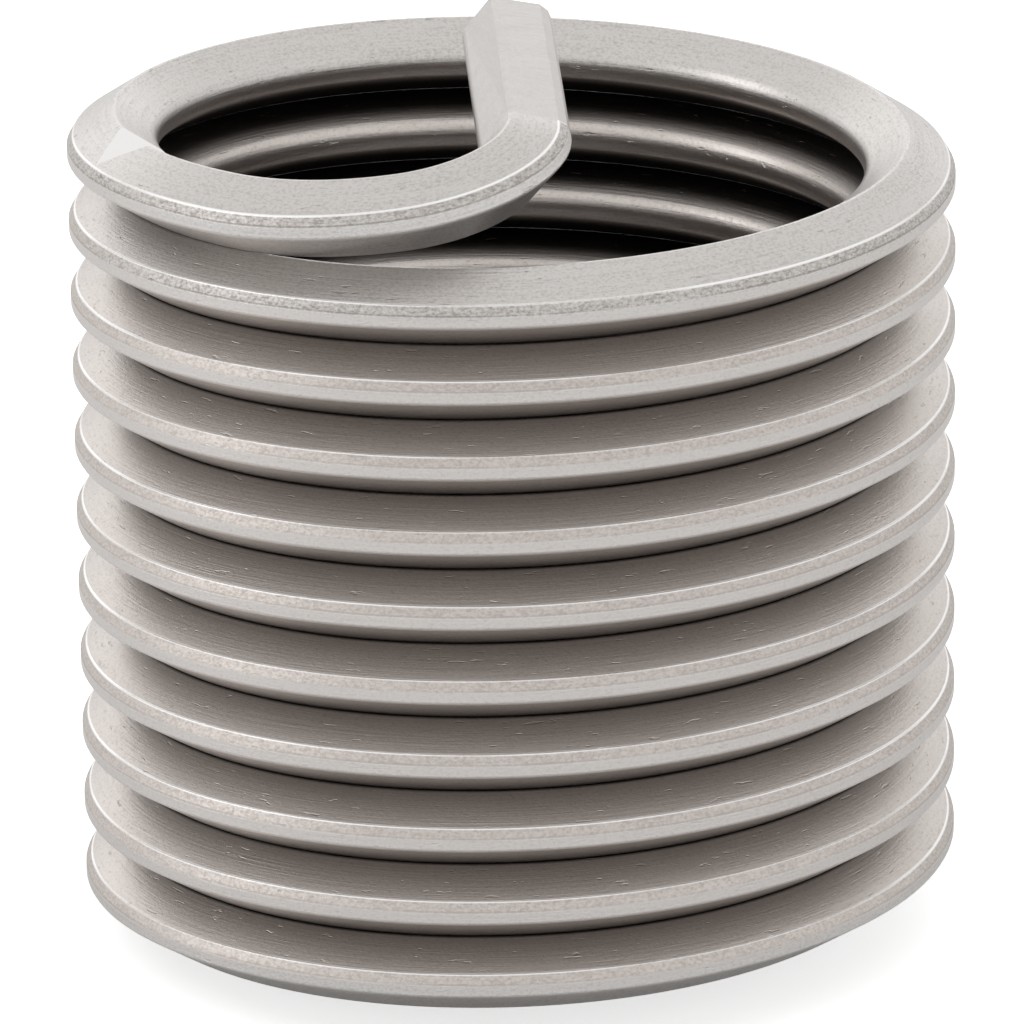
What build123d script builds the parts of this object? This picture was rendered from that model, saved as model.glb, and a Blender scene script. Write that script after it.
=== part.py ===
"""Wire thread insert: one length of profiled wire, wound as a spring and bent inward to a driving tang.

The coil's axis is Z.  The insert stands on the cut end of its first turn, at Z = 0, with the tang on top.
It is wound right-handed, in its free state, for a tapped hole that brings it to an M10 x 1 thread.
Lengths are in millimetres and angles in degrees.
"""
from build123d import *
import os
from math import radians, tan

# Coil
OUTER_RADIUS = 5.85         # over the outer crests, before the insert is driven
PITCH = 1.0                 # rise of one turn
COIL_TURNS = 10.43          # from the cut end to the start of the tang's bend
FINISH_ANGLE = 47.7         # direction of the coil's end, past the -X side towards the -Y side

# Wire section: a rhombus with eased corners on the crests
WIRE_WIDTH = 0.96           # along the coil's axis, from ridge to ridge
WIRE_DEPTH = 1.204          # along the radius, from outer crest to inner crest
FLANK_ANGLE = 30.0          # between a flank and the radius
RIDGE_DEPTH = 0.627         # from the outer crest to the ridges
OUTER_FLAT = 0.184          # height of the land on the outer crest
OUTER_EASE = 0.10           # depth of the bevels beside that land
INNER_FLAT = 0.20           # height of the land on the inner crest
INNER_EASE = 0.08           # depth of the bevels beside that land

# Tang: an easy bend, a tight bend and a straight run, all in one plane that rises inward
EASY_RADIUS = 3.358         # of the ridge line
EASY_ANGLE = 39.7
TIGHT_RADIUS = 1.53         # of the ridge line
TIGHT_ANGLE = 94.9
TANG_RUN = 4.16             # length of the straight run
TANG_RISE_ANGLE = 10.6      # slope of the tang's plane towards the coil's axis

# Break-off notch: a vee across the top of the wire, shallow outside and deep inside
NOTCH_LEAD = 27.5           # from the notch to the start of the tang's bend
NOTCH_OPENING = 100.0       # between its two walls
NOTCH_FLOOR_ANGLE = 17.0    # fall of its floor towards the coil's axis
NOTCH_INSET = 0.12          # from the outer crest to where its floor comes to the surface


def half_width(depth):
    """Half of the wire's width on the flanks, at a depth from the outer crest."""
    return WIRE_WIDTH / 2 - abs(depth - RIDGE_DEPTH) * tan(radians(FLANK_ANGLE))


def wire_section(plane):
    """The wire's cross-section, centred on the line between its ridges; the plane's X points outward."""
    inner_bevel = WIRE_DEPTH - INNER_EASE
    upper = [
        (0, OUTER_FLAT / 2),
        (OUTER_EASE, half_width(OUTER_EASE)),
        (RIDGE_DEPTH, half_width(RIDGE_DEPTH)),
        (inner_bevel, half_width(inner_bevel)),
        (WIRE_DEPTH, INNER_FLAT / 2),
    ]
    outline = upper + [(depth, -height) for depth, height in reversed(upper)]
    corners = [(RIDGE_DEPTH - depth, height) for depth, height in outline]
    return plane * make_face(Polyline(*corners, close=True))


def wire_frame(helix, share):
    """The plane across the wire at a share of the helix: X outward, Y upward and Z back along the wire."""
    centre = helix @ share
    return Plane(origin=centre, x_dir=Vector(centre.X, centre.Y, 0), z_dir=-(helix % share))


def ridge_helix():
    """The helix that runs midway between the wire's ridges, turned so that the tang ends up where it should."""
    start_angle = 180 + FINISH_ANGLE - 360 * COIL_TURNS
    helix = Helix(pitch=PITCH, height=PITCH * COIL_TURNS, radius=OUTER_RADIUS - RIDGE_DEPTH)
    return Pos(0, 0, WIRE_WIDTH / 2) * Rot(0, 0, start_angle) * helix


def tang_line(frame):
    """The tang's two bends and its straight run, from the end of the coil."""
    tangent = -frame.z_dir
    bend_normal = frame.y_dir.rotate(Axis((0, 0, 0), tangent), TANG_RISE_ANGLE)
    bend_plane = Plane(origin=frame.origin, x_dir=tangent, z_dir=bend_normal)
    easy = JernArc((0, 0), (1, 0), EASY_RADIUS, EASY_ANGLE)
    tight = JernArc(easy @ 1, easy % 1, TIGHT_RADIUS, TIGHT_ANGLE)
    run = Line(tight @ 1, tight @ 1 + TANG_RUN * (tight % 1))
    return bend_plane * Wire([easy, tight, run])


def notch_cutter(frame):
    """The vee-shaped prism that the notch takes out of the wire, its floor falling inward from the outer crest."""
    floor_start = frame.from_local_coords((RIDGE_DEPTH - NOTCH_INSET, half_width(NOTCH_INSET), 0))
    inward = (-frame.x_dir).rotate(Axis((0, 0, 0), frame.z_dir), NOTCH_FLOOR_ANGLE)
    vee_plane = Plane(origin=floor_start, x_dir=frame.z_dir, z_dir=inward)
    height = WIRE_WIDTH
    half_opening = height * tan(radians(NOTCH_OPENING / 2))
    vee = make_face(Polyline((0, 0), (half_opening, height), (-half_opening, height), close=True))
    return extrude(vee_plane * vee, amount=WIRE_DEPTH)


def thread_insert():
    """The whole insert, as one solid."""
    helix = ridge_helix()
    coil_end = wire_frame(helix, 1)
    coil = sweep(wire_section(wire_frame(helix, 0)), path=helix, is_frenet=True)
    tang = sweep(wire_section(coil_end), path=tang_line(coil_end))
    notch = notch_cutter(wire_frame(helix, 1 - NOTCH_LEAD / 360 / COIL_TURNS))
    return coil + tang - notch


insert = thread_insert()
insert.label = "wire_coil"
os.makedirs("parts", exist_ok=True)
export_step(insert, "parts/wire_coil.step")
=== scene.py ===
"""Looks of a wire thread insert: the wound wire with its tang and notch, its finish, and the studio round it.

Everything is in metres in the CAD's frame.  The coil's axis is Z and the insert stands on the floor at Z = 0.
"""
import logging
import math
from collections.abc import Callable
from dataclasses import dataclass, field
from enum import Enum

import bmesh
import bpy
from mathutils import Matrix, Vector


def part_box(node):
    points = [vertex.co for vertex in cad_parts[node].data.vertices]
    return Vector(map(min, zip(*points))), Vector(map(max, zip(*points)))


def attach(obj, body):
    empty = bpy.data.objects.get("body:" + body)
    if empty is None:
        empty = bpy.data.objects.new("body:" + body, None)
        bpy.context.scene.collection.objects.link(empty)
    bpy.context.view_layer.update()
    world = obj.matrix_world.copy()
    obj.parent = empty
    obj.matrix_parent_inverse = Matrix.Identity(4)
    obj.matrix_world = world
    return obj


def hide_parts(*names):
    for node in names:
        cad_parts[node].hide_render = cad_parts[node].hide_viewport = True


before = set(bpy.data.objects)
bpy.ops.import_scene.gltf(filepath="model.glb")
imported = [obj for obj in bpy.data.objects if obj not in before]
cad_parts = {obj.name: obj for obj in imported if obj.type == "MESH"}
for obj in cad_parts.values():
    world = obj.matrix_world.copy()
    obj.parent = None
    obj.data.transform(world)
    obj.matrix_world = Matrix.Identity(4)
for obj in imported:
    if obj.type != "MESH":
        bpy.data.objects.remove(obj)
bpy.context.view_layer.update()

logging.basicConfig(level=logging.INFO, format="%(message)s")
log = logging.getLogger("insert")

MM = 0.001
WIRE_ATTRIBUTE = "wire"
MERGE_DISTANCE = 1e-7               # points nearer than this are one point
NEAR_CORNER = 0.9                   # share of the way to a corner from which a point belongs to it
TRIANGLE_HEIGHT = 1.5               # of a three-cornered circle, in its radii
TRIANGLE_LEAN = math.radians(30)    # of that triangle's sides from its middle line

Socket = bpy.types.NodeSocket
Value = Socket | float
Colour = tuple[float, float, float, float]
Ramp = tuple[float, float]          # where a mask starts to change and where it has changed


class Side(Enum):
    """The side of the wire that a crest of its section lies on."""

    OUTER = "outer"
    INNER = "inner"


# ---------------------------------------------------------------- helpers


def deselect_all() -> None:
    """Leaves nothing selected in object mode."""
    if bpy.context.object and bpy.context.object.mode != "OBJECT":
        bpy.ops.object.mode_set(mode="OBJECT")
    bpy.ops.object.select_all(action="DESELECT")


def activate(piece: bpy.types.Object) -> None:
    """Makes a piece the only one selected, and the active one.

    Args:
        piece: the object to work on.
    """
    deselect_all()
    piece.select_set(True)
    bpy.context.view_layer.objects.active = piece


def select_vertices(piece: bpy.types.Object, wanted: Callable[[Vector], bool]) -> int:
    """Enters edit mode with just the vertices selected that a test picks by their place.

    Args:
        piece: the mesh object.
        wanted: a function from a vertex's position to True or False.

    Returns:
        The number of vertices selected.
    """
    activate(piece)
    bpy.ops.object.mode_set(mode="EDIT")
    bpy.ops.mesh.select_mode(type="VERT")
    bpy.ops.mesh.select_all(action="DESELECT")
    bpy.ops.object.mode_set(mode="OBJECT")
    count = 0
    for vertex in piece.data.vertices:
        vertex.select = bool(wanted(vertex.co))
        count += vertex.select
    bpy.ops.object.mode_set(mode="EDIT")
    return count


def apply_modifier(piece: bpy.types.Object, kind: str, **settings: object) -> None:
    """Adds a modifier with the given settings and applies it.

    Args:
        piece: the mesh object.
        kind: the modifier's type, as Blender names it.
        **settings: the modifier's properties.
    """
    activate(piece)
    modifier = piece.modifiers.new(kind.title(), kind)
    for name, value in settings.items():
        setattr(modifier, name, value)
    bpy.ops.object.modifier_apply(modifier=modifier.name)


def signed_volume(piece: bpy.types.Object) -> float:
    """The volume inside a closed mesh, negative where its faces point inward.

    Args:
        piece: the mesh object.

    Returns:
        The volume in cubic metres.
    """
    shape = bmesh.new()
    shape.from_mesh(piece.data)
    volume = shape.calc_volume(signed=True)
    shape.free()
    return volume


# ---------------------------------------------------------------- the wire


@dataclass(frozen=True)
class WireSection:
    """The wire's cross-section: a rhombus with lands across its crests and eased corners."""

    width: float = 0.96 * MM            # along the coil's axis, from ridge to ridge
    depth: float = 1.204 * MM           # along the radius, from outer crest to inner crest
    ridge_depth: float = 0.627 * MM     # from the outer crest to the ridges
    flank_angle: float = math.radians(30)
    upper_bevel: float = 0.085 * MM     # how far the bevel above the outer land runs
    lower_bevel: float = 0.015 * MM     # how far the bevel below the outer land runs
    inner_round: float = 0.12 * MM
    inner_round_steps: int = 3
    ridge_land: float = 0.028 * MM
    ridge_swell: float = 0.031 * MM     # stands the ridges' lands close to the next turn's

    @property
    def slope(self) -> float:
        """Half-width lost for each unit of depth on a flank."""
        return math.tan(self.flank_angle)

    @property
    def half_rhombus(self) -> float:
        """From the ridge line to the rhombus's sharp corner, along the radius."""
        return self.width / 2 / self.slope

    def cut(self, side: Side) -> float:
        """The length of flank that the land on a crest cuts off.

        Args:
            side: the outer or the inner crest.

        Returns:
            The length, measured along the flank from the rhombus's sharp corner.
        """
        reach = self.ridge_depth if side is Side.OUTER else self.depth - self.ridge_depth
        return (self.half_rhombus - reach) / math.cos(self.flank_angle)


@dataclass(frozen=True)
class TangPath:
    """The tang's line: an easy bend, a tight bend and a straight run in one plane, from the coil's end."""

    origin: Vector
    tangent: Vector
    inward: Vector                      # in the bend's plane, towards the bends' centres
    rise: float                         # turn of the bend's plane about the wire, from the section's own
    easy_radius: float = 3.358 * MM
    easy_angle: float = math.radians(39.7)
    tight_radius: float = 1.53 * MM
    tight_angle: float = math.radians(94.9)
    run: float = 4.16 * MM
    wrapped_below: float = -0.5         # an angle less than this about the tight bend is past half a turn

    @property
    def normal(self) -> Vector:
        """The upward normal of the bend's plane."""
        return self.tangent.cross(self.inward).normalized()

    def point(self, forward: float, inward: float) -> Vector:
        """A point of the bend's plane.

        Args:
            forward: the distance along the tangent at the coil's end.
            inward: the distance towards the bends' centres.

        Returns:
            The point in the CAD's frame.
        """
        return self.origin + self.tangent * forward + self.inward * inward

    @property
    def easy_centre(self) -> tuple[float, float]:
        """The easy bend's centre, in the plane's coordinates."""
        return 0.0, self.easy_radius

    @property
    def tight_centre(self) -> tuple[float, float]:
        """The tight bend's centre, in the plane's coordinates."""
        offset = self.easy_radius - self.tight_radius
        return offset * math.sin(self.easy_angle), self.easy_radius - offset * math.cos(self.easy_angle)

    def locate(self, place: Vector) -> Vector:
        """A place's coordinates along and across the tang's wire.

        Args:
            place: a point in the CAD's frame.

        Returns:
            The distances along the wire from the coil's end, outward from the ridge line, and upward.
        """
        rel = place - self.origin
        forward, inward, up = rel.dot(self.tangent), rel.dot(self.inward), rel.dot(self.normal)
        easy_length = self.easy_radius * self.easy_angle
        cx, cy = self.easy_centre
        turned = math.atan2(forward - cx, cy - inward)
        if turned <= self.easy_angle:
            along = self.easy_radius * turned
            outward = math.hypot(forward - cx, inward - cy) - self.easy_radius
        else:
            cx, cy = self.tight_centre
            turned = math.atan2(forward - cx, cy - inward) - self.easy_angle
            if turned <= self.wrapped_below:
                turned = self.tight_angle
            turned = min(turned, self.tight_angle)
            heading = self.easy_angle + turned
            run_x, run_y = math.cos(heading), math.sin(heading)
            outward = (forward - cx) * run_y - (inward - cy) * run_x - self.tight_radius
            past = (forward - cx) * run_x + (inward - cy) * run_y
            along = easy_length + self.tight_radius * turned + past
        cos_rise, sin_rise = math.cos(self.rise), math.sin(self.rise)
        return Vector((along, outward * cos_rise + up * sin_rise, up * cos_rise - outward * sin_rise))


@dataclass
class WireCoil:
    """The whole insert: one length of wire, wound as a coil and bent inward to a notched tang."""

    section: WireSection = field(default_factory=WireSection)
    outer_radius: float = 5.85 * MM
    pitch: float = 1.0 * MM
    turns: float = 10.43
    finish_angle: float = math.radians(180 + 47.7)
    tang_rise: float = math.radians(10.6)
    notch_lead: float = math.radians(27.5)
    notch_opening: float = math.radians(100)
    notch_fall: float = math.radians(17)
    notch_inset: float = 0.12 * MM
    cutter_height: float = 1.2          # of the notching tool, in wire widths
    cutter_length: float = 1.5          # in wire depths
    cutter_lead: float = 0.2            # how far it starts outside the notch's floor, in wire depths
    wall_match: float = 0.995           # cosine of the most that a face of the notch leans from its wall
    steps_per_turn: int = 144
    tang_step: float = math.radians(2.6)
    section_slack: float = 0.01 * MM    # off the plane of the coil's end, still in its last section
    smooth_angle: float = math.radians(24)
    normal_weight: int = 60

    @property
    def ridge_radius(self) -> float:
        """The radius of the line midway between the ridges."""
        return self.outer_radius - self.section.ridge_depth

    @property
    def start_angle(self) -> float:
        """The direction of the coil's cut end."""
        return self.finish_angle - self.turns * math.tau

    @property
    def lead_angle(self) -> float:
        """The slope of the helix along the ridge line."""
        return math.atan2(self.pitch, math.tau * self.ridge_radius)

    def wire_frame(self, turned: float) -> Matrix:
        """The frame across the wire after some turning from the cut end.

        Args:
            turned: the angle turned, in radians.

        Returns:
            A matrix whose X points outward, Y upward and Z back along the wire, placed on the ridge line.
        """
        angle = self.start_angle + turned
        outward = Vector((math.cos(angle), math.sin(angle), 0))
        around = Vector((-math.sin(angle), math.cos(angle), 0))
        back = -(around * math.cos(self.lead_angle) + Vector((0, 0, math.sin(self.lead_angle))))
        up = back.cross(outward)
        centre = outward * self.ridge_radius
        centre.z = self.section.width / 2 + self.pitch * turned / math.tau
        return Matrix.Translation(centre) @ Matrix((outward, up, back)).transposed().to_4x4()

    def tang_path(self) -> TangPath:
        """The tang's line, from the coil's end."""
        end = self.wire_frame(self.turns * math.tau)
        outward, up, back = (end.col[i].to_3d() for i in range(3))
        tangent = -back
        normal = Matrix.Rotation(self.tang_rise, 3, tangent) @ up
        return TangPath(end.translation.copy(), tangent, normal.cross(tangent), self.tang_rise)

    def build(self) -> bpy.types.Object:
        """Models the wire, notches it and gives it its surface coordinates.

        Returns:
            The finished mesh object.
        """
        piece = self._profile()
        self._wind(piece)
        self._bend_tang(piece)
        self._close_ends(piece)
        self._notch(piece)
        self._finish_mesh(piece)
        self._write_coordinates(piece)
        return piece

    def _profile(self) -> bpy.types.Object:
        """Shapes the wire's section at the cut end, from a four-sided circle.

        Returns:
            The object that holds the section's outline.
        """
        sec = self.section
        deselect_all()
        bpy.ops.mesh.primitive_circle_add(vertices=4, radius=sec.half_rhombus, fill_type="NGON")
        piece = bpy.context.object
        piece.name = "wound_wire"
        bpy.ops.object.mode_set(mode="EDIT")
        bpy.ops.mesh.select_all(action="SELECT")
        bpy.ops.transform.resize(value=(1, sec.slope, 1), center_override=(0, 0, 0))
        tip, ridge = NEAR_CORNER * sec.half_rhombus, NEAR_CORNER * sec.width / 2
        outer, inner = NEAR_CORNER * sec.ridge_depth, NEAR_CORNER * (sec.ridge_depth - sec.depth)
        corners = (
            (lambda co: co.x > tip, sec.cut(Side.OUTER), 1),
            (lambda co: co.x < -tip, sec.cut(Side.INNER), 1),
            (lambda co: co.x > outer and co.y > 0, sec.upper_bevel, 1),
            (lambda co: co.x > outer and co.y < 0, sec.lower_bevel, 1),
            (lambda co: co.x < inner, sec.inner_round, sec.inner_round_steps),
            (lambda co: abs(co.y) > ridge, sec.ridge_land, 1),
        )
        for wanted, offset, segments in corners:
            select_vertices(piece, wanted)
            bpy.ops.mesh.bevel(offset_type="OFFSET", offset=offset, segments=segments, affect="VERTICES",
                               clamp_overlap=False)
        for rise in (1, -1):
            select_vertices(piece, lambda co: co.y * rise > ridge)
            bpy.ops.transform.translate(value=(0, rise * sec.ridge_swell, 0))
        bpy.ops.mesh.select_all(action="SELECT")
        bpy.ops.mesh.delete(type="ONLY_FACE")
        bpy.ops.object.mode_set(mode="OBJECT")
        piece.data.transform(self.wire_frame(0))
        return piece

    def _wind(self, piece: bpy.types.Object) -> None:
        """Winds the section into the coil.

        Args:
            piece: the object that holds the section's outline.
        """
        apply_modifier(piece, "SCREW", angle=self.turns * math.tau, screw_offset=self.turns * self.pitch,
                       iterations=1, steps=round(self.turns * self.steps_per_turn), use_merge_vertices=False)

    def _bend_tang(self, piece: bpy.types.Object) -> None:
        """Carries the wire on through the tang's two bends and its straight run.

        Args:
            piece: the wound wire.
        """
        path = self.tang_path()
        back = -path.tangent
        count = select_vertices(piece, lambda co: (co - path.origin).length < self.section.depth
                                and abs((co - path.origin).dot(back)) < self.section_slack)
        log.info("section has %d corners", count)
        bends = ((path.easy_centre, path.easy_angle), (path.tight_centre, path.tight_angle))
        for centre, angle in bends:
            bpy.ops.mesh.spin(steps=math.ceil(angle / self.tang_step), angle=angle,
                              center=path.point(*centre), axis=-path.normal)
        heading = path.easy_angle + path.tight_angle
        along = path.tangent * math.cos(heading) + path.inward * math.sin(heading)
        bpy.ops.mesh.extrude_region_move(TRANSFORM_OT_translate={"value": along * path.run})
        bpy.ops.object.mode_set(mode="OBJECT")

    def _close_ends(self, piece: bpy.types.Object) -> None:
        """Closes the two cut ends and points every face outward.

        Args:
            piece: the open tube of wire.
        """
        activate(piece)
        bpy.ops.object.mode_set(mode="EDIT")
        bpy.ops.mesh.select_all(action="SELECT")
        bpy.ops.mesh.remove_doubles(threshold=MERGE_DISTANCE)
        bpy.ops.mesh.select_all(action="DESELECT")
        bpy.ops.mesh.select_non_manifold()
        bpy.ops.mesh.edge_face_add()
        bpy.ops.mesh.select_all(action="SELECT")
        bpy.ops.mesh.normals_make_consistent(inside=False)
        bpy.ops.object.mode_set(mode="OBJECT")
        if signed_volume(piece) < 0:
            piece.data.flip_normals()

    def _notch(self, piece: bpy.types.Object) -> None:
        """Cuts the break-off notch across the top of the wire.

        Args:
            piece: the closed wire.
        """
        sec = self.section
        wire = self.wire_frame(self.turns * math.tau - self.notch_lead)
        outward, up, back = (wire.col[i].to_3d() for i in range(3))
        half_width = sec.width / 2 - (sec.ridge_depth - self.notch_inset) * sec.slope
        start = wire @ Vector((sec.ridge_depth - self.notch_inset, half_width, 0))
        inward = Matrix.Rotation(self.notch_fall, 3, back) @ -outward
        rise = inward.cross(back)
        height = self.cutter_height * sec.width
        deselect_all()
        bpy.ops.mesh.primitive_circle_add(vertices=3, radius=height / TRIANGLE_HEIGHT, fill_type="NGON")
        cutter = bpy.context.object
        bpy.ops.object.mode_set(mode="EDIT")
        bpy.ops.mesh.select_all(action="SELECT")
        widen = math.tan(self.notch_opening / 2) / math.tan(TRIANGLE_LEAN)
        bpy.ops.transform.resize(value=(widen, -1, 1), center_override=(0, 0, 0))
        bpy.ops.transform.translate(value=(0, height / TRIANGLE_HEIGHT, 0))
        length = self.cutter_length * sec.depth
        bpy.ops.mesh.extrude_region_move(TRANSFORM_OT_translate={"value": (0, 0, length)})
        bpy.ops.mesh.select_all(action="SELECT")
        bpy.ops.mesh.normals_make_consistent(inside=False)
        bpy.ops.object.mode_set(mode="OBJECT")
        place = Matrix((back, rise, inward)).transposed().to_4x4()
        cutter.data.transform(Matrix.Translation(start - inward * self.cutter_lead * sec.depth) @ place)
        if signed_volume(cutter) < 0:
            cutter.data.flip_normals()
        apply_modifier(piece, "BOOLEAN", operation="DIFFERENCE", object=cutter, solver="MANIFOLD")
        bpy.data.objects.remove(cutter)
        piece.data.materials.clear()
        lean = self.notch_opening / 2
        walls = [(rise * math.sin(lean) + back * side * math.cos(lean)).normalized() for side in (1, -1)]
        for face in piece.data.polygons:
            near = (face.center - wire.translation).length < length
            on_wall = any(face.normal.dot(wall) > self.wall_match for wall in walls)
            face.material_index = int(near and on_wall)

    def _finish_mesh(self, piece: bpy.types.Object) -> None:
        """Keeps the wire within the CAD's height, and shades its flats flat and its rounded corners smooth.

        Args:
            piece: the notched wire.
        """
        low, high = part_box("wire_coil")
        for vertex in piece.data.vertices:
            vertex.co.z = min(max(vertex.co.z, low.z), high.z)
        activate(piece)
        bpy.ops.object.shade_smooth_by_angle(angle=self.smooth_angle)
        apply_modifier(piece, "WEIGHTED_NORMAL", keep_sharp=True, weight=self.normal_weight)

    def _write_coordinates(self, piece: bpy.types.Object) -> None:
        """Stores each vertex's distances along the wire, outward and upward, in millimetres.

        Args:
            piece: the finished mesh.
        """
        path = self.tang_path()
        end_angle = self.turns * math.tau
        coil_length = math.hypot(end_angle * self.ridge_radius, self.turns * self.pitch)
        attribute = piece.data.attributes.new(WIRE_ATTRIBUTE, "FLOAT_VECTOR", "POINT")
        for vertex, value in zip(piece.data.vertices, attribute.data):
            ahead = (vertex.co - path.origin).dot(path.tangent) > -MERGE_DISTANCE
            place = path.locate(vertex.co) + Vector((coil_length, 0, 0))
            if not ahead or place.z < -self.pitch / 2:
                angle = (math.atan2(vertex.co.y, vertex.co.x) - self.start_angle) % math.tau
                height = vertex.co.z - self.section.width / 2
                turns = angle / math.tau + round(height / self.pitch - angle / math.tau)
                along = coil_length * turns / self.turns
                outward = math.hypot(vertex.co.x, vertex.co.y) - self.ridge_radius
                place = Vector((along, outward, height - turns * self.pitch))
            value.vector = place / MM


# ---------------------------------------------------------------- finishes


class Graph:
    """A short way to lay out nodes in a node tree."""

    def __init__(self, tree: bpy.types.NodeTree) -> None:
        """Takes the tree to lay nodes in.

        Args:
            tree: a material's or group's node tree.
        """
        self.tree = tree

    def add(self, kind: str, inputs: dict[str | int, object] | None = None,
            **settings: object) -> bpy.types.Node:
        """Adds a node.

        Args:
            kind: the node's type.
            inputs: values or sockets for its inputs, by name or index.
            **settings: the node's properties.

        Returns:
            The new node.
        """
        node = self.tree.nodes.new(kind)
        for name, value in settings.items():
            setattr(node, name, value)
        for name, value in (inputs or {}).items():
            if isinstance(value, bpy.types.NodeSocket):
                self.tree.links.new(value, node.inputs[name])
            else:
                node.inputs[name].default_value = value
        return node

    def math(self, operation: str, first: Value, second: Value = 0.0, third: Value = 0.0,
             clamp: bool = False) -> Socket:
        """Adds a Math node.

        Args:
            operation: what it does, as Blender names it.
            first: its first value or socket.
            second: its second value or socket.
            third: its third value or socket.
            clamp: keeps the result between 0 and 1.

        Returns:
            The node's output.
        """
        node = self.add("ShaderNodeMath", {0: first, 1: second, 2: third}, operation=operation,
                        use_clamp=clamp)
        return node.outputs[0]

    def times(self, first: Value, second: Value) -> Socket:
        """The product of two values."""
        return self.math("MULTIPLY", first, second)

    def share(self, total: Value, source: Value, weight: float, middle: float = 0.0) -> Socket:
        """Adds a share of a source to a total.

        Args:
            total: the value or socket to add to.
            source: the value or socket that is added.
            weight: how much of it.
            middle: the source's value that adds nothing.

        Returns:
            The new total.
        """
        if middle:
            source = self.math("SUBTRACT", source, middle)
        return self.math("MULTIPLY_ADD", source, weight, total)

    def band(self, value: Value, low: float, high: float, start: Value = 0.0, end: Value = 1.0) -> Socket:
        """Maps a value smoothly from one range to another.

        Args:
            value: the socket to map.
            low: where the ramp starts.
            high: where the ramp ends.
            start: the result below the ramp.
            end: the result above the ramp.

        Returns:
            The mapped value.
        """
        node = self.add("ShaderNodeMapRange", {"Value": value, "From Min": low, "From Max": high,
                                               "To Min": start, "To Max": end},
                        interpolation_type="SMOOTHSTEP")
        return node.outputs["Result"]

    def line(self, value: Value, middle: float, ramp: Ramp) -> Socket:
        """Masks a narrow line.

        Args:
            value: the socket to mask by.
            middle: its value on the line.
            ramp: how far from the line the mask starts to fall and where it is zero.

        Returns:
            The mask, 1 on the line.
        """
        return self.band(self.math("ABSOLUTE", self.math("SUBTRACT", value, middle)), *ramp, 1.0, 0.0)

    def mix(self, factor: Value, low: Value, high: Value) -> Socket:
        """Blends two values.

        Args:
            factor: how much of the second.
            low: the first value or socket.
            high: the second value or socket.

        Returns:
            The blended value.
        """
        return self.add("ShaderNodeMix", {0: factor, 2: low, 3: high}, data_type="FLOAT").outputs[0]

    def blend(self, factor: Value, low: Socket | Colour, high: Socket | Colour) -> Socket:
        """Blends two colours.

        Args:
            factor: how much of the second.
            low: the first colour or socket.
            high: the second colour or socket.

        Returns:
            The blended colour.
        """
        return self.add("ShaderNodeMix", {0: factor, 6: low, 7: high}, data_type="RGBA").outputs[2]

    def noise(self, vector: Socket, stretch: tuple[float, float, float], detail: float = 3.0,
              roughness: float = 0.6) -> Socket:
        """Adds noise with its own scale along each axis.

        Args:
            vector: the coordinates.
            stretch: the noise's frequency along each axis.
            detail: octaves of finer noise.
            roughness: how strong the finer octaves are.

        Returns:
            The noise's value.
        """
        scaled = self.add("ShaderNodeVectorMath", {0: vector, 1: stretch}, operation="MULTIPLY")
        node = self.add("ShaderNodeTexNoise", {"Vector": scaled.outputs[0], "Scale": 1.0, "Detail": detail,
                                               "Roughness": roughness})
        return node.outputs["Fac"]


@dataclass(frozen=True)
class Texture:
    """The noises that the drawn surface is made of."""

    lines: Socket                       # drawn along the wire
    patches: Socket                     # broad and slow
    grain: Socket                       # fine
    specks: Socket                      # of dirt
    pits: Socket                        # short dents along the wire


@dataclass(frozen=True)
class Place:
    """Where on the wire a point is, as masks from 0 to 1 and distances in millimetres."""

    outward: Socket                     # distance from the ridge line
    above: Socket                       # the wire's upper half
    outside: Socket                     # its half outside the ridge line
    crest: Socket                       # the outer land and its bevels
    bevel: Socket                       # the bevel above that land
    land: Socket                        # that land
    edge: Socket                        # the edge over the upper bevel, where a painted highlight goes
    die_line: Socket                    # the groove between land and bevel
    covered: Socket                     # flanks that face a neighbouring turn


@dataclass(frozen=True)
class Shares:
    """How much each part of the texture adds to a dullness or to a height."""

    lines: float
    pits: float
    grain: float
    crest_grain: float
    base: float = 0.0
    patches: float = 0.0
    specks: float = 0.0
    bevel: float = 0.0
    die_line: float = 0.0


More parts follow.
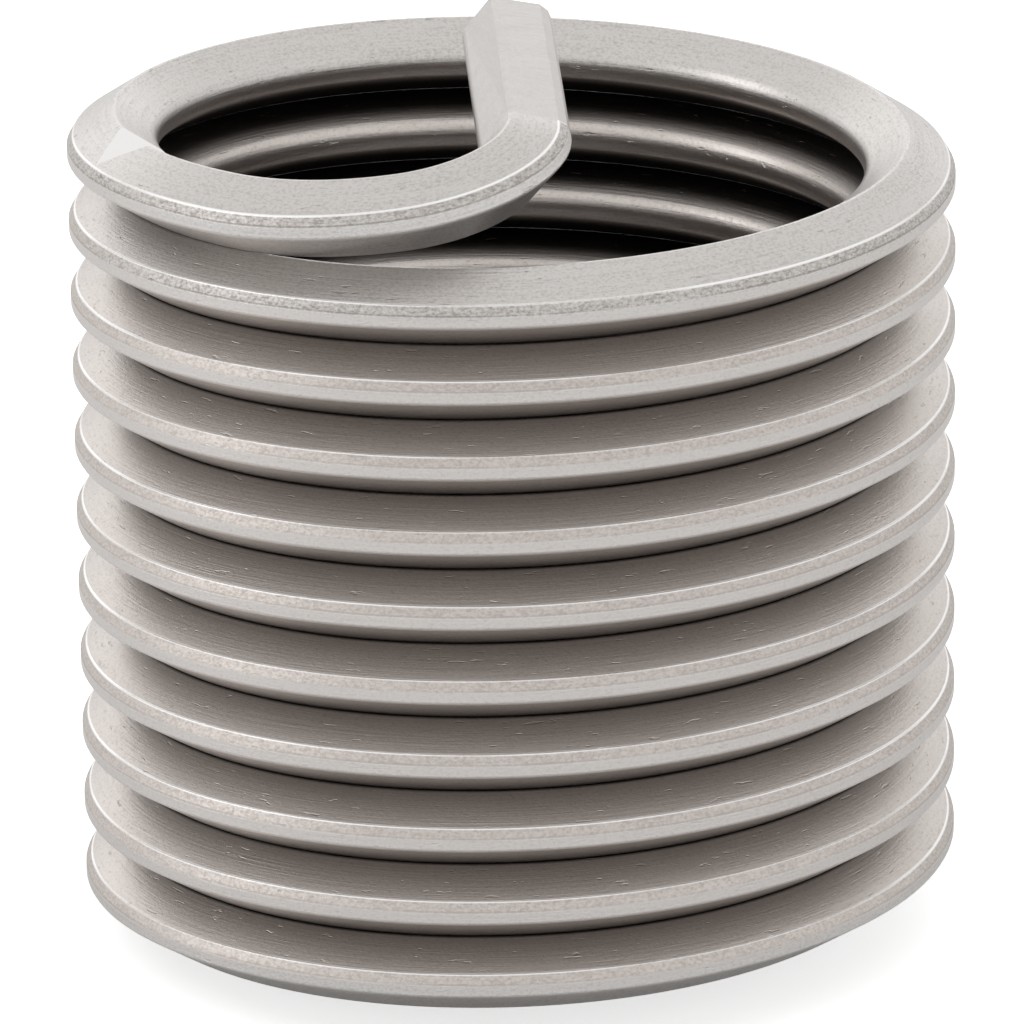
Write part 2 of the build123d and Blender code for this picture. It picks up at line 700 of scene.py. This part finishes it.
@dataclass(frozen=True)
class DrawnSteel:
    """Satin stainless wire: drawn lines, pits, a grainy crest and a paler outer land, with painted light on
    top: a painted highlight along the edge over the upper bevel, a painted shade tint on flanks that face a
    neighbouring turn, and dark painted shade between the turns.

    The painted shade stands for the darkness of the grooves.  Distances are in millimetres from the ridge
    line.
    """

    colour: Colour = (0.60, 0.572, 0.552, 1.0)
    dull_colour: Colour = (0.34, 0.315, 0.29, 1.0)
    # painted shade: a darker, warmer tint on flanks that face a neighbouring turn
    covered_shade_tint: Colour = (0.60, 0.54, 0.50, 1.0)
    # pale colour: a painted highlight on the edge over the upper bevel, and a paler tone on the outer land
    pale_colour: Colour = (0.92, 0.91, 0.90, 1.0)
    # painted shade: the near-black laid into the grooves between the turns
    painted_shade_colour: Colour = (0.025, 0.020, 0.018, 1.0)
    covered_shade_tint_share: float = 0.55           # of the painted shade tint, on covered flanks
    land_share: float = 0.35            # of the pale colour on the outer land
    edge_highlight_share: float = 0.95            # of the pale colour on the edge, as a painted highlight
    roughness: float = 0.30
    crest_roughness: float = 0.10       # added on the crest
    dull_roughness: float = 0.15        # added where the steel is dull
    foot_free_to: float = 32.8          # along the wire, where the next turn starts to cover its lower side
    foot_ramp: float = 0.6
    top_free_from: float = 309.5        # where the turn above stops covering its upper side
    top_ramp: float = 4.5
    tang_from: float = 342.4            # where the tang leaves the coil
    tang_ramp: float = 1.5              # to either side of that
    middle_ramp: Ramp = (-0.01, 0.01)   # from one half of the wire to the other
    crest_ramp: Ramp = (0.545, 0.56)    # outward
    bevel_ramp: Ramp = (0.03, 0.045)    # upward
    land_ramp: Ramp = (0.02, 0.04)      # upward
    edge_highlight_place: float = 0.548           # outward
    edge_highlight_ramp: Ramp = (0.008, 0.018)    # to either side of that
    die_line_place: float = 0.036       # upward
    die_line_ramp: Ramp = (0.005, 0.018)
    gap_ramp: Ramp = (0.02, 0.075)      # painted shade in the gap, to either side of the ridge line
    painted_shade_below_ramp: Ramp = (0.08, 0.55)
    painted_shade_below: Ramp = (0.60, 0.14)    # painted shade on lower flanks, by the ridge and by the crest
    painted_shade_above_ramp: Ramp = (0.03, 0.20)
    painted_shade_above: float = 0.08           # painted shade on upper flanks, by the ridge
    painted_shade_inside_ramp: Ramp = (0.24, 0.56)
    painted_shade_inside: float = 0.95          # painted shade on inner flanks, by the ridge
    dullness: Shares = Shares(base=0.10, lines=0.9, patches=0.4, grain=2.2, pits=0.5, specks=0.55,
                              crest_grain=0.24, bevel=0.22)
    heights: Shares = Shares(lines=0.6, pits=-0.8, grain=0.5, crest_grain=0.7, die_line=-1.0)
    bump_distance: float = 0.02 * MM
    bump_strength: float = 0.35

    def group(self) -> bpy.types.NodeTree:
        """The node group that turns the wire's coordinates into colour, roughness and height.

        Returns:
            The new node group.
        """
        tree = bpy.data.node_groups.new("drawn_wire", "ShaderNodeTree")
        tree.interface.new_socket("Wire", in_out="INPUT", socket_type="NodeSocketVector")
        tree.interface.new_socket("Color", in_out="OUTPUT", socket_type="NodeSocketColor")
        for name in ("Roughness", "Height"):
            tree.interface.new_socket(name, in_out="OUTPUT", socket_type="NodeSocketFloat")
        g = Graph(tree)
        wire = g.add("NodeGroupInput").outputs["Wire"]
        texture = self._texture(g, wire)
        place = self._place(g, wire, texture)
        dull = self._dullness(g, texture, place)
        rough = g.share(self.roughness, place.crest, self.crest_roughness)
        g.add("NodeGroupOutput", {
            "Color": self._colour(g, place, dull),
            "Roughness": g.share(rough, dull, self.dull_roughness),
            "Height": self._height(g, texture, place),
        })
        return tree

    def _texture(self, g: Graph, wire: Socket) -> Texture:
        """Lays out the noises, all drawn out along the wire.

        Args:
            g: the group's graph.
            wire: the wire's coordinates.

        Returns:
            The noises' sockets.
        """
        return Texture(
            lines=g.noise(wire, (0.5, 34.0, 34.0), detail=4.0, roughness=0.7),
            patches=g.noise(wire, (0.35, 2.5, 2.5), detail=2.0),
            grain=g.noise(wire, (20.0, 27.0, 27.0), detail=3.0, roughness=0.75),
            specks=g.band(g.noise(wire, (14.0, 20.0, 20.0), detail=2.0), 0.57, 0.70),
            pits=g.band(g.noise(wire, (3.2, 13.0, 13.0), detail=2.0), 0.67, 0.73),
        )

    def _place(self, g: Graph, wire: Socket, texture: Texture) -> Place:
        """Lays out the masks of the wire's crest, edges and covered flanks.

        Args:
            g: the group's graph.
            wire: the wire's coordinates.
            texture: the noises, which break up the edge and the die line.

        Returns:
            The masks' sockets.
        """
        along, outward, up = g.add("ShaderNodeSeparateXYZ", {0: wire}).outputs
        crest = g.band(outward, *self.crest_ramp)
        above = g.band(up, *self.middle_ramp)
        # painted highlight along the edge over the upper bevel
        edge = g.line(outward, self.edge_highlight_place, self.edge_highlight_ramp)
        edge = g.times(g.times(edge, above), g.band(texture.patches, 0.30, 0.60, 0.35, 1.0))
        die_line = g.times(g.line(up, self.die_line_place, self.die_line_ramp), crest)
        die_line = g.times(die_line, g.band(texture.patches, 0.35, 0.60, 0.15, 0.6))
        return Place(
            outward=outward,
            above=above,
            outside=g.band(outward, *self.middle_ramp),
            crest=crest,
            bevel=g.times(crest, g.band(up, *self.bevel_ramp)),
            land=g.times(crest, g.band(up, *self.land_ramp, self.land_share, 0.0)),
            edge=edge,
            die_line=die_line,
            covered=self._covered(g, along, above),
        )

    def _covered(self, g: Graph, along: Socket, above: Socket) -> Socket:
        """Masks the flanks that face a neighbouring turn.

        Free are the first turn's lower flanks, the last turn's upper ones and the tang.

        Args:
            g: the group's graph.
            along: the distance along the wire.
            above: the mask of the wire's upper half.

        Returns:
            The mask.
        """
        free_top = g.band(along, self.top_free_from - self.top_ramp, self.top_free_from)
        free_foot = g.band(along, self.foot_free_to, self.foot_free_to + self.foot_ramp, 1.0, 0.0)
        free_tang = g.band(along, self.tang_from - self.tang_ramp, self.tang_from + self.tang_ramp)
        free = g.mix(above, g.math("MAXIMUM", free_foot, free_tang), free_top)
        return g.math("SUBTRACT", 1.0, free)

    def _painted_shade(self, g: Graph, place: Place) -> Socket:
        """Masks the painted shade of the grooves: dense in the gap between turns, thinner towards the crest.

        Args:
            g: the group's graph.
            place: the wire's masks.

        Returns:
            The mask.
        """
        reach = g.math("ABSOLUTE", place.outward)
        gap = g.band(reach, *self.gap_ramp, 1.0, 0.0)
        below = g.band(place.outward, *self.painted_shade_below_ramp, *self.painted_shade_below)
        above = g.band(place.outward, *self.painted_shade_above_ramp, self.painted_shade_above, 0.0)
        inside = g.band(reach, *self.painted_shade_inside_ramp, self.painted_shade_inside, 0.0)
        flanks = g.mix(place.outside, inside, g.mix(place.above, below, above))
        # painted shade, only on flanks that face a neighbouring turn and never on the crest
        shade_mask = g.times(g.math("MAXIMUM", gap, flanks), place.covered)
        return g.times(shade_mask, g.math("SUBTRACT", 1.0, place.crest))

    def _dullness(self, g: Graph, texture: Texture, place: Place) -> Socket:
        """Lays out how dull the steel is.

        Args:
            g: the group's graph.
            texture: the noises.
            place: the wire's masks.

        Returns:
            The dullness, from 0 to 1.
        """
        shares = self.dullness
        dull = g.share(shares.base, texture.lines, shares.lines, middle=0.5)
        dull = g.share(dull, texture.patches, shares.patches, middle=0.5)
        dull = g.share(dull, texture.grain, shares.grain, middle=0.5)
        dull = g.share(dull, texture.pits, shares.pits)
        dull = g.share(dull, g.times(texture.specks, place.covered), shares.specks)
        grainy = g.times(g.band(texture.grain, 0.40, 0.70), g.share(place.crest, place.bevel, 0.5))
        dull = g.share(dull, grainy, shares.crest_grain)
        dull = g.share(dull, place.bevel, shares.bevel)
        return g.math("ADD", dull, place.die_line, clamp=True)

    def _colour(self, g: Graph, place: Place, dull: Socket) -> Socket:
        """Lays out the colour, from the bare steel to the painted shade of the grooves on top of it.

        Args:
            g: the group's graph.
            place: the wire's masks.
            dull: how dull the steel is.

        Returns:
            The colour.
        """
        colour = g.blend(dull, self.colour, self.dull_colour)
        # painted shade tint on the flanks that face a neighbouring turn
        colour = g.blend(g.times(place.covered, self.covered_shade_tint_share), colour, self.covered_shade_tint)
        colour = g.blend(place.land, colour, self.pale_colour)
        # painted highlight along the edge over the upper bevel
        colour = g.blend(g.times(place.edge, self.edge_highlight_share), colour, self.pale_colour)
        # painted shade of the grooves, over everything else
        return g.blend(self._painted_shade(g, place), colour, self.painted_shade_colour)

    def _height(self, g: Graph, texture: Texture, place: Place) -> Socket:
        """Lays out the height for the bump.

        Args:
            g: the group's graph.
            texture: the noises.
            place: the wire's masks.

        Returns:
            The height.
        """
        shares = self.heights
        height = g.share(g.times(texture.lines, shares.lines), texture.pits, shares.pits)
        height = g.share(height, texture.grain, shares.grain)
        height = g.share(height, g.times(texture.grain, place.crest), shares.crest_grain)
        return g.share(height, place.die_line, shares.die_line)

    def material(self) -> bpy.types.Material:
        """The finished material.

        Returns:
            A material for the record's stainless_wire slot.
        """
        material = bpy.data.materials.new("stainless_wire")
        material.use_nodes = True
        g = Graph(material.node_tree)
        shader = material.node_tree.nodes["Principled BSDF"]
        wire = g.add("ShaderNodeAttribute", attribute_type="GEOMETRY", attribute_name=WIRE_ATTRIBUTE)
        surface = g.add("ShaderNodeGroup", node_tree=self.group())
        link = material.node_tree.links.new
        link(wire.outputs["Vector"], surface.inputs["Wire"])
        bump = g.add("ShaderNodeBump", {"Strength": self.bump_strength, "Distance": self.bump_distance,
                                        "Height": surface.outputs["Height"]})
        shader.inputs["Metallic"].default_value = 1.0
        link(surface.outputs["Color"], shader.inputs["Base Color"])
        link(surface.outputs["Roughness"], shader.inputs["Roughness"])
        link(bump.outputs["Normal"], shader.inputs["Normal"])
        return material


@dataclass(frozen=True)
class CutSteel:
    """The pale, slightly torn face that the notching tool leaves."""

    colour: Colour = (0.86, 0.85, 0.84, 1.0)
    roughness: float = 0.42
    grain_scale: float = 9000.0
    bump_distance: float = 0.01 * MM
    bump_strength: float = 0.4

    def material(self) -> bpy.types.Material:
        """The finished material.

        Returns:
            A material for the notch's walls.
        """
        material = bpy.data.materials.new("stainless_cut")
        material.use_nodes = True
        g = Graph(material.node_tree)
        shader = material.node_tree.nodes["Principled BSDF"]
        place = g.add("ShaderNodeTexCoord")
        grain = g.add("ShaderNodeTexNoise", {"Vector": place.outputs["Object"], "Scale": self.grain_scale})
        bump = g.add("ShaderNodeBump", {"Strength": self.bump_strength, "Distance": self.bump_distance,
                                        "Height": grain.outputs["Fac"]})
        shader.inputs["Metallic"].default_value = 1.0
        shader.inputs["Base Color"].default_value = self.colour
        shader.inputs["Roughness"].default_value = self.roughness
        material.node_tree.links.new(bump.outputs["Normal"], shader.inputs["Normal"])
        return material


# ---------------------------------------------------------------- studio


@dataclass(frozen=True)
class Lamp:
    """A rectangular area lamp that points at the insert."""

    name: str
    place: tuple[float, float, float]
    size: tuple[float, float]
    power: float

    def build(self, target: Vector) -> None:
        """Adds the lamp.

        Args:
            target: the point it faces.
        """
        data = bpy.data.lights.new(self.name, "AREA")
        data.shape = "RECTANGLE"
        data.size, data.size_y = self.size
        data.energy = self.power
        lamp = bpy.data.objects.new(self.name, data)
        bpy.context.scene.collection.objects.link(lamp)
        lamp.location = self.place
        lamp.rotation_euler = (target - Vector(self.place)).to_track_quat("-Z", "Y").to_euler()


@dataclass
class Studio:
    """White floor, white surroundings, soft lamps and the camera."""

    floor_size: float = 1.2
    look_height: float = 5.583 * MM
    side_shift: float = 0.0515 * MM
    elevation: float = math.radians(17.89)
    distance: float = 123.26 * MM
    roll: float = math.radians(-0.716)
    lens: float = 324.8
    clip_start: float = 0.01
    floor_colour: Colour = (0.9, 0.9, 0.9, 1.0)
    floor_roughness: float = 0.9
    floor_glow: float = 0.6             # seen by the camera alone
    ambient: float = 0.8                # the surround's strength on matt surfaces
    lamps: tuple[Lamp, ...] = (
        Lamp("back_lamp", (-0.10, 0.40, 0.16), (0.60, 0.20), 0.13),
        Lamp("left_lamp", (-0.20, -0.02, 0.09), (0.10, 0.16), 0.05),
    )

    def build(self) -> None:
        """Adds everything round the insert."""
        self._floor()
        self._world()
        target = Vector((0, 0, self.look_height))
        for lamp in self.lamps:
            lamp.build(target)
        self._camera(target)
        bpy.context.scene.view_settings.view_transform = "Standard"

    def _floor(self) -> None:
        """Adds a white floor that keeps the insert's shadow."""
        deselect_all()
        bpy.ops.mesh.primitive_plane_add(size=self.floor_size)
        floor = bpy.context.object
        floor.name = "floor"
        material = bpy.data.materials.new("white_floor")
        material.use_nodes = True
        g = Graph(material.node_tree)
        shader = material.node_tree.nodes["Principled BSDF"]
        shader.inputs["Base Color"].default_value = self.floor_colour
        shader.inputs["Roughness"].default_value = self.floor_roughness
        shader.inputs["Specular IOR Level"].default_value = 0.0
        shader.inputs["Emission Color"].default_value = (1, 1, 1, 1)
        path = g.add("ShaderNodeLightPath")
        glow = g.math("MULTIPLY", path.outputs["Is Camera Ray"], self.floor_glow)
        material.node_tree.links.new(glow, shader.inputs["Emission Strength"])
        floor.data.materials.append(material)

    def _world(self) -> None:
        """Gives the world a plain white surround."""
        world = bpy.data.worlds.new("studio")
        bpy.context.scene.world = world
        world.use_nodes = True
        background = world.node_tree.nodes["Background"]
        background.inputs["Color"].default_value = (1, 1, 1, 1)
        g = Graph(world.node_tree)
        path = g.add("ShaderNodeLightPath")
        seen = g.math("MAXIMUM", path.outputs["Is Camera Ray"], path.outputs["Is Glossy Ray"])
        strength = g.band(seen, 0.0, 1.0, self.ambient, 1.0)
        world.node_tree.links.new(strength, background.inputs["Strength"])

    def _camera(self, target: Vector) -> None:
        """Adds the camera.

        Args:
            target: the point on the coil's axis that it looks at.
        """
        data = bpy.data.cameras.new("camera")
        data.lens = self.lens
        data.clip_start = self.clip_start
        camera = bpy.data.objects.new("camera", data)
        bpy.context.scene.collection.objects.link(camera)
        back = Vector((0, -math.cos(self.elevation), math.sin(self.elevation)))
        turn = (-back).to_track_quat("-Z", "Y").to_matrix().to_4x4() @ Matrix.Rotation(self.roll, 4, "Z")
        aim = target - Vector((self.side_shift, 0, 0))
        camera.matrix_world = Matrix.Translation(aim + back * self.distance) @ turn
        bpy.context.scene.camera = camera


# ---------------------------------------------------------------- the scene


def main() -> None:
    """Builds the insert, dresses it and sets up the studio."""
    wire = WireCoil().build()
    for finish in (DrawnSteel(), CutSteel()):
        wire.data.materials.append(finish.material())
    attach(wire, "root")
    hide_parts("wire_coil")
    log.info("%s: %d vertices, %d faces", wire.name, len(wire.data.vertices), len(wire.data.polygons))
    Studio().build()
    log.info("studio is in place")


if __name__ == "__main__":
    main()
